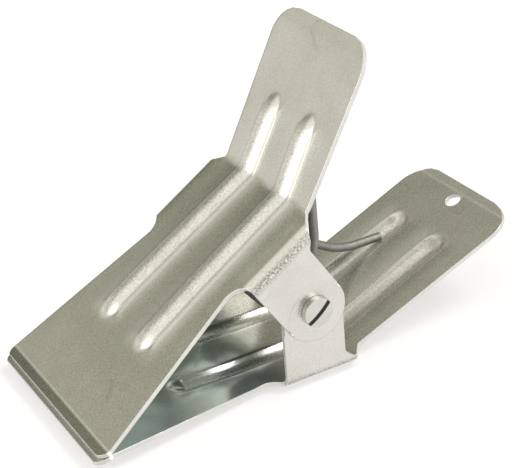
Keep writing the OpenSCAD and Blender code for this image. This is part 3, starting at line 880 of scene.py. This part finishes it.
def add_node(tree, kind, inputs=None, **settings):
    """Adds a shader node, sets its options and fills its inputs with values or other outputs."""
    node = tree.nodes.new(kind)
    for key, value in settings.items():
        setattr(node, key, value)
    for key, value in (inputs or {}).items():
        if isinstance(value, bpy.types.NodeSocket):
            tree.links.new(value, node.inputs[key])
        else:
            node.inputs[key].default_value = value
    return node


def combine(tree, operation, first, second):
    """Two values combined by one operation."""
    return add_node(tree, "ShaderNodeMath", {0: first, 1: second}, operation=operation).outputs[0]


def vector(tree, operation, inputs, output="Vector"):
    """Vectors combined by one operation."""
    return add_node(tree, "ShaderNodeVectorMath", inputs, operation=operation).outputs[output]


def mapped(tree, value, low, high, to_low, to_high, **settings):
    """Maps a value between two ranges, clamped."""
    return add_node(tree, "ShaderNodeMapRange", {
        "Value": value, "From Min": low, "From Max": high, "To Min": to_low, "To Max": to_high,
    }, **settings).outputs["Result"]


def grain_group():
    """Fine speckle of plated steel, its faint blotches, and its few broken hairlines."""
    name, kind = "Plated grain", "NodeSocketFloat"
    if name in bpy.data.node_groups:
        return bpy.data.node_groups[name]
    group = bpy.data.node_groups.new(name, "ShaderNodeTree")
    for label, scale in (("Grain scale", FINE_SCALE), ("Blotch scale", BLOTCH_SCALE)):
        group.interface.new_socket(label, in_out="INPUT", socket_type=kind).default_value = scale
    for label in ("Speckle", "Blotch", "Hairline"):
        group.interface.new_socket(label, in_out="OUTPUT", socket_type=kind)
    given = group.nodes.new("NodeGroupInput").outputs
    place = add_node(group, "ShaderNodeTexCoord").outputs["Object"]

    def noise(scale, detail, roughness=0.5):
        return add_node(group, "ShaderNodeTexNoise", {
            "Vector": place, "Scale": scale, "Detail": detail, "Roughness": roughness,
        }).outputs["Fac"]

    ridge = combine(group, "ABSOLUTE", combine(group, "SUBTRACT", noise(HAIRLINE_SCALE, 1.0), 0.5), 0.0)
    hairline = combine(
        group, "MULTIPLY", mapped(group, ridge, *HAIRLINE_WIDTH, 1.0, 0.0),
        mapped(group, noise(HAIRLINE_GAPS, 1.0), *HAIRLINE_SHOWN, 0.0, 1.0),
    )
    add_node(group, "NodeGroupOutput", {
        "Speckle": noise(given["Grain scale"], 3.0, 0.6),
        "Blotch": noise(given["Blotch scale"], 4.0, 0.55), "Hairline": hairline,
    })
    return group


def ear_shadow_ring(tree):
    """Share of the painted shadow ring that the upper ears' round ends cast on the lower ears."""
    place = add_node(tree, "ShaderNodeTexCoord").outputs["Object"]
    arm = vector(tree, "SUBTRACT", {0: place, 1: tuple(PIVOT + Vector(RING_SHIFT) * MM)})
    flat = vector(tree, "MULTIPLY", {0: arm, 1: (1.0, 0.0, 1.0)})
    radius = bpy.context.scene.tarp_clip_sheet.ear_radius + RING_PAST
    past = combine(tree, "SUBTRACT", vector(tree, "LENGTH", {0: flat}, "Value"), radius)
    away = combine(tree, "ABSOLUTE", past, 0.0)
    height = add_node(tree, "ShaderNodeSeparateXYZ", {"Vector": arm}).outputs["Z"]
    return combine(
        tree, "MULTIPLY", mapped(tree, away, RING_NEAR, RING_FAR, 1.0, 0.0),
        mapped(tree, height, -RING_FADE, 0.0, 1.0, 0.0),
    )


def new_material(name):
    """An empty node material with its metal shader."""
    material = bpy.data.materials.new(name)
    material.use_nodes = True
    tree = material.node_tree
    tree.nodes.clear()
    shader = add_node(tree, "ShaderNodeBsdfPrincipled", {"Metallic": 1.0})
    add_node(tree, "ShaderNodeOutputMaterial", {"Surface": shader.outputs["BSDF"]})
    return material, tree, shader


def paint(tree, shader, base, shade):
    """Gives a shader its base colour times a changing shade."""
    tint = vector(tree, "SCALE", {0: base, "Scale": shade})
    tree.links.new(tint, shader.inputs["Base Color"])


def sheet_metals():
    """Materials of a plate's outer face, its inner face and its cut edges."""
    return sheet_metal("Zinc sheet"), sheet_metal("Zinc sheet inside"), sheet_metal("Cut edge")


def sheet_metal(name):
    """Zinc-plated sheet: satin and finely speckled, smoother inside the jaws, duller where cut, with
    painted shade and highlights.
    """
    if name in bpy.data.materials:
        return bpy.data.materials[name]
    finish = bpy.context.scene.tarp_clip_finish
    material, tree, shader = new_material(name)
    grain = add_node(tree, "ShaderNodeGroup", node_tree=grain_group())

    def mark(key):
        return add_node(tree, "ShaderNodeAttribute", attribute_name=key).outputs["Fac"]

    def times(first, second):
        return combine(tree, "MULTIPLY", first, second)

    band = mark("fold")
    stretched = combine(tree, "MAXIMUM", mapped(tree, mark("rib"), *RIB_STRETCH), band)
    fine = mapped(tree, grain.outputs["Speckle"], *SPECKLE_SPREAD, -1.0, 1.0)
    strength = times(
        mapped(tree, stretched, 0.0, 1.0, CALM_SPECKLE, BAND_SPECKLE),
        mapped(tree, mark("ear"), EAR_FROM, 1.0, 1.0, EAR_SPECKLE),
    )
    blotch = mapped(tree, grain.outputs["Blotch"], *BLOTCH_SPREAD, *BLOTCH_SHADES)
    shade = combine(tree, "ADD", blotch, times(fine, strength))
    # painted highlight along the crease behind the lip
    shade = combine(tree, "ADD", shade, times(mark("crease"), CREASE_HIGHLIGHT))
    # hairlines darken the sheet; the foot mark is painted shade and highlights, the ring a painted shadow
    for value, share in (
        (grain.outputs["Hairline"], HAIRLINE_SHADE), (mark("foot"), FOOT_SHADE),
        (band, BAND_SHADE), (ear_shadow_ring(tree), RING_SHADE),
    ):
        shade = combine(tree, "SUBTRACT", shade, times(value, share))
    rough = combine(tree, "ADD", SHEET_ROUGH, times(fine, SPECKLE_ROUGH))
    rough = combine(tree, "ADD", rough, times(stretched, BAND_ROUGH))
    base = tuple(finish.sheet)
    # inside the jaws the colour gives way to the inside colour, painted shade and painted reflection of the
    # closed jaws
    if name == "Zinc sheet inside":
        jaw = mark("jaw")
        hue = add_node(
            tree, "ShaderNodeMix", {"Factor": jaw, 6: (*base, 1.0), 7: (*finish.inside, 1.0)},
            data_type="RGBA",
        )
        base = hue.outputs[2]
        rough = combine(tree, "SUBTRACT", rough, times(jaw, JAW_SMOOTH))
        shader.inputs["Metallic"].default_value = INSIDE_METAL
    if name == "Cut edge":
        base = tuple(finish.edge)
        rough = combine(tree, "ADD", rough, EDGE_ROUGH)
        shader.inputs["Metallic"].default_value = EDGE_METAL
    paint(tree, shader, base, shade)
    tree.links.new(rough, shader.inputs["Roughness"])
    bump = add_node(tree, "ShaderNodeBump", {
        "Strength": GRAIN_BUMP, "Distance": GRAIN_DEPTH, "Height": grain.outputs["Speckle"],
    })
    tree.links.new(bump.outputs["Normal"], shader.inputs["Normal"])
    return material


def plain_metal(name, rgb, scales, shades, roughness, metallic=1.0):
    """A metal of one colour, blotched in its shade and speckled between two roughnesses."""
    if name in bpy.data.materials:
        return bpy.data.materials[name]
    material, tree, shader = new_material(name)
    grain = add_node(
        tree, "ShaderNodeGroup", {"Grain scale": scales[0], "Blotch scale": scales[1]},
        node_tree=grain_group(),
    )
    shader.inputs["Metallic"].default_value = metallic
    paint(tree, shader, tuple(rgb), mapped(tree, grain.outputs["Blotch"], *shades))
    low, high = roughness
    shader.inputs["Roughness"].default_value = low
    if high > low:
        rough = mapped(tree, grain.outputs["Speckle"], *ROUGH_SPREAD, low, high)
        tree.links.new(rough, shader.inputs["Roughness"])
    return material


def turned_metal():
    """Bright plated steel of the screw, the nut and the sleeve."""
    rgb = bpy.context.scene.tarp_clip_finish.screw
    shades = (*BLOTCH_SPREAD, 0.92, 1.08)
    return plain_metal("Plated screw steel", rgb, (1800.0, 300.0), shades, (0.24, 0.34))


def dark_slot():
    """Brown-black colour on the faces of the screw's slot, uneven along it."""
    rgb = bpy.context.scene.tarp_clip_finish.slot
    shades = (*ROUGH_SPREAD, 0.6, 1.6)
    return plain_metal("Slot grime", rgb, (FINE_SCALE, 700.0), shades, (0.6, 0.6), SLOT_METAL)


def wire_metal():
    """Dark matt spring wire with a faint drawn grain."""
    rgb = bpy.context.scene.tarp_clip_finish.wire
    shades = (*BLOTCH_SPREAD, 0.85, 1.15)
    return plain_metal("Spring wire", rgb, (2200.0, 500.0), shades, (0.5, 0.62))


def facing_share(tree, facing, direction, *levels):
    """A value that goes smoothly between two levels as the world faces a direction."""
    towards = vector(tree, "DOT_PRODUCT", {0: facing, 1: direction}, "Value")
    return mapped(tree, towards, *levels, interpolation_type="SMOOTHSTEP")


def studio_world():
    """A studio's soft light: a ramp over the height, a dim side and broad glows."""
    world = bpy.data.worlds.new("Studio")
    world.use_nodes = True
    tree = world.node_tree
    tree.nodes.clear()
    facing = add_node(tree, "ShaderNodeTexCoord").outputs["Generated"]
    height = add_node(tree, "ShaderNodeSeparateXYZ", {"Vector": facing}).outputs["Z"]
    ramp = add_node(tree, "ShaderNodeValToRGB", {"Fac": height})
    stops = ramp.color_ramp.elements
    stops[0].color, stops[1].color = SKY_FLOOR, SKY_TOP
    for place, rgba in SKY_STOPS:
        stops.new(place).color = rgba
    dim = facing_share(tree, facing, *SKY_DIM)
    light = vector(tree, "SCALE", {0: ramp.outputs["Color"], "Scale": dim})
    for direction, low, high, strength in SKY_GLOWS:
        glow = facing_share(tree, facing, direction, low, high, 0.0, strength)
        light = vector(tree, "ADD", {0: light, 1: glow})
    back = add_node(tree, "ShaderNodeBackground", {"Color": light, "Strength": 1.0})
    add_node(tree, "ShaderNodeOutputWorld", {"Surface": back.outputs["Background"]})
    return world


class TarpClipStageOperator(bpy.types.Operator):
    """Sets up the floor, the light and the camera"""

    bl_idname = "object.tarp_clip_stage"
    bl_label = "Set the stage"

    def execute(self, context):
        scene = context.scene
        scene.view_settings.view_transform = "Standard"
        bm = bmesh.new()
        bmesh.ops.create_grid(bm, x_segments=1, y_segments=1, size=FLOOR_SIZE)
        floor = mesh_object("Floor", bm)
        material = bpy.data.materials.new("Floor")
        material.use_nodes = True
        shader = material.node_tree.nodes["Principled BSDF"]
        shader.inputs["Base Color"].default_value = (*scene.tarp_clip_finish.floor, 1.0)
        for key, value in FLOOR_LOOK.items():
            shader.inputs[key].default_value = value
        floor.data.materials.append(material)
        scene.world = studio_world()

        light = bpy.data.lights.new("Overhead softbox", "AREA")
        light.shape, light.size, light.energy = "DISK", LAMP_SIZE, LAMP_POWER
        lamp = linked("Overhead softbox", light)
        aim = (Vector(LAMP_AIM) - Vector(LAMP_PLACE)).to_track_quat("-Z", "Y")
        lamp.matrix_world = Matrix.Translation(LAMP_PLACE) @ aim.to_matrix().to_4x4()

        camera = bpy.data.cameras.new("Camera")
        camera.sensor_width, camera.lens = CAMERA_SENSOR, CAMERA_LENS
        camera.clip_start = 0.01
        camera.dof.use_dof = False
        view = linked("Camera", camera)
        place = PIVOT + Vector(CAMERA_PLACE)
        turn = Matrix((CAMERA_RIGHT, CAMERA_UP, CAMERA_BACK)).transposed()
        view.matrix_world = Matrix.Translation(place) @ turn.to_4x4()
        scene.camera = view
        return {"FINISHED"}


class TarpClipPlatesOperator(bpy.types.Operator):
    """Cuts, presses and folds the two steel plates"""

    bl_idname = "object.tarp_clip_plates"
    bl_label = "Press the plates"

    def execute(self, context):
        scene = context.scene
        sheet, lower = scene.tarp_clip_sheet, scene.tarp_clip_lower
        crease = closed_lips()[1]
        lower_rise = math.atan2(crease.y + lower.height, -sheet.waist_front - crease.x)
        press_plate(lower, lower_rise, "Lower_plate", "lower", "lower_plate", False)
        press_plate(scene.tarp_clip_upper, sheet.jaw_rise, "Upper_plate", "upper", "upper_plate", True)
        return {"FINISHED"}


class TarpClipPivotOperator(bpy.types.Operator):
    """Turns the screw, the spacer sleeve and the nut"""

    bl_idname = "object.tarp_clip_pivot"
    bl_label = "Turn the pivot"

    def execute(self, context):
        metal = turned_metal()
        screw = add_piece(
            turned_screw(), "Slotted_screw", "lower", "pivot_screw", "plated_steel", metal, dark_slot(),
        )
        sleeve = add_piece(turned_sleeve(), "Sleeve", "lower", "spacer_sleeve", "plated_steel", metal)
        nut = add_piece(chamfered_nut(), "Thin_nut", "lower", "hex_nut", "plated_steel", metal)
        for piece in (screw, sleeve, nut):
            sharpen(piece, SHARP_TURNED, TURNED_EDGE)
        return {"FINISHED"}


class TarpClipSpringOperator(bpy.types.Operator):
    """Winds the torsion spring"""

    bl_idname = "object.tarp_clip_spring"
    bl_label = "Wind the spring"

    def execute(self, context):
        piece = add_piece(wound_spring(), "Spring_wire", "", "torsion_spring", "spring_steel", wire_metal())
        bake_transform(piece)
        sharpen(piece, SHARP_WIRE, WIRE_EDGE)
        return {"FINISHED"}


class TarpClipPanel(bpy.types.Panel):
    """Lists the steps that build the tarp clip"""

    bl_idname = "VIEW3D_PT_tarp_clip"
    bl_label = "Tarp clip"
    bl_space_type = "VIEW_3D"
    bl_region_type = "UI"
    bl_category = "Tarp clip"

    def draw(self, context):
        scene = context.scene
        for operator in OPERATORS:
            self.layout.operator(operator.bl_idname)
        for key in GROUPS:
            group = getattr(scene, key)
            box = self.layout.box()
            box.label(text=GROUPS[key][1])
            for prop in group.bl_rna.properties:
                if prop.identifier not in ("rna_type", "name"):
                    box.prop(group, prop.identifier)


# The stage: floor, lamp, sky by height and direction, and the camera that was fitted to the photo
FLOOR_SIZE = 4.0
FLOOR_LOOK = {"Roughness": 0.9, "Emission Color": (1.0, 1.0, 1.0, 1.0), "Emission Strength": 0.52}
LAMP_PLACE, LAMP_AIM = (0.55, -0.46, 1.2), (0.0, 0.0, 0.03)
LAMP_SIZE, LAMP_POWER = 0.6, 8.0
SKY_FLOOR = (0.80, 0.80, 0.755, 1)
SKY_TOP = (0.305, 0.31, 0.225, 1)
SKY_STOPS = ((0.34, (0.73, 0.73, 0.64, 1)), (0.50, SKY_TOP))
SKY_DIM = ((0.15, 0.925, 0.35), 0.89, 0.985, 1.0, 0.28)
SKY_GLOWS = (
    ((-0.47, 0.0, 0.88), 0.62, 0.90, 0.85),
    ((-0.99, -0.05, 0.10), 0.74, 0.92, 1.5),
    ((0.38, -0.77, 0.51), 0.88, 0.98, 2.0),
)
CAMERA_SENSOR, CAMERA_LENS = 36.0, 114.135
CAMERA_PLACE = (-0.169824, -0.335736, 0.206582)
CAMERA_RIGHT = (0.870081, -0.485863, -0.083047)
CAMERA_UP = (0.290440, 0.369226, 0.882789)
CAMERA_BACK = (-0.398252, -0.792218, 0.462370)

OPERATORS = (
    TarpClipStageOperator,
    TarpClipPlatesOperator,
    TarpClipPivotOperator,
    TarpClipSpringOperator,
)
GROUPS = {
    "tarp_clip_sheet": (TarpClipSheet, "Both plates"),
    "tarp_clip_upper": (TarpClipPlate, "Upper plate"),
    "tarp_clip_lower": (TarpClipPlate, "Lower plate"),
    "tarp_clip_pivot": (TarpClipPivot, "Pivot"),
    "tarp_clip_spring": (TarpClipSpring, "Spring"),
    "tarp_clip_finish": (TarpClipFinish, "Colours"),
}
CLASSES = (
    TarpClipSheet, TarpClipPlate, TarpClipPivot, TarpClipSpring, TarpClipFinish,
    *OPERATORS, TarpClipPanel,
)
# Where the lower plate differs from the upper one, in millimetres and degrees
LOWER_SIZES = {
    "height": 20.8, "waist_rear": 12.8, "lip": 4.0, "handle": 56.0, "curl": 2.9,
    "ear_out": 25.6, "fold_radius": 2.0, "relief_x": 15.6, "fold_end": 13.4, "foot_x": 11.6,
    "ear_foot": 2.8, "rib_front": 18.8, "rib_rear": 41.2,
    "hole": 52.8, "nose": 4.6, "tail": 5.0, "skirt": 0.18,
}
LOWER_ANGLES = {"bend": 22.9, "curl_turn": 18.0}


def register():
    """Adds the classes and the clip's sizes to Blender."""
    for cls in CLASSES:
        bpy.utils.register_class(cls)
    for key, entry in GROUPS.items():
        setattr(bpy.types.Scene, key, PointerProperty(type=entry[0]))


def unregister():
    """Takes them out again."""
    for key in GROUPS:
        delattr(bpy.types.Scene, key)
    for cls in reversed(CLASSES):
        bpy.utils.unregister_class(cls)


def main():
    """Registers the add-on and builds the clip."""
    register()
    lower = bpy.context.scene.tarp_clip_lower
    for key, value in LOWER_SIZES.items():
        setattr(lower, key, value * MM)
    lower.nose_power = 1
    for key, value in LOWER_ANGLES.items():
        setattr(lower, key, math.radians(value))
    bpy.ops.object.tarp_clip_stage()
    bpy.ops.object.tarp_clip_plates()
    bpy.ops.object.tarp_clip_pivot()
    bpy.ops.object.tarp_clip_spring()


if __name__ == "__main__":
    main()
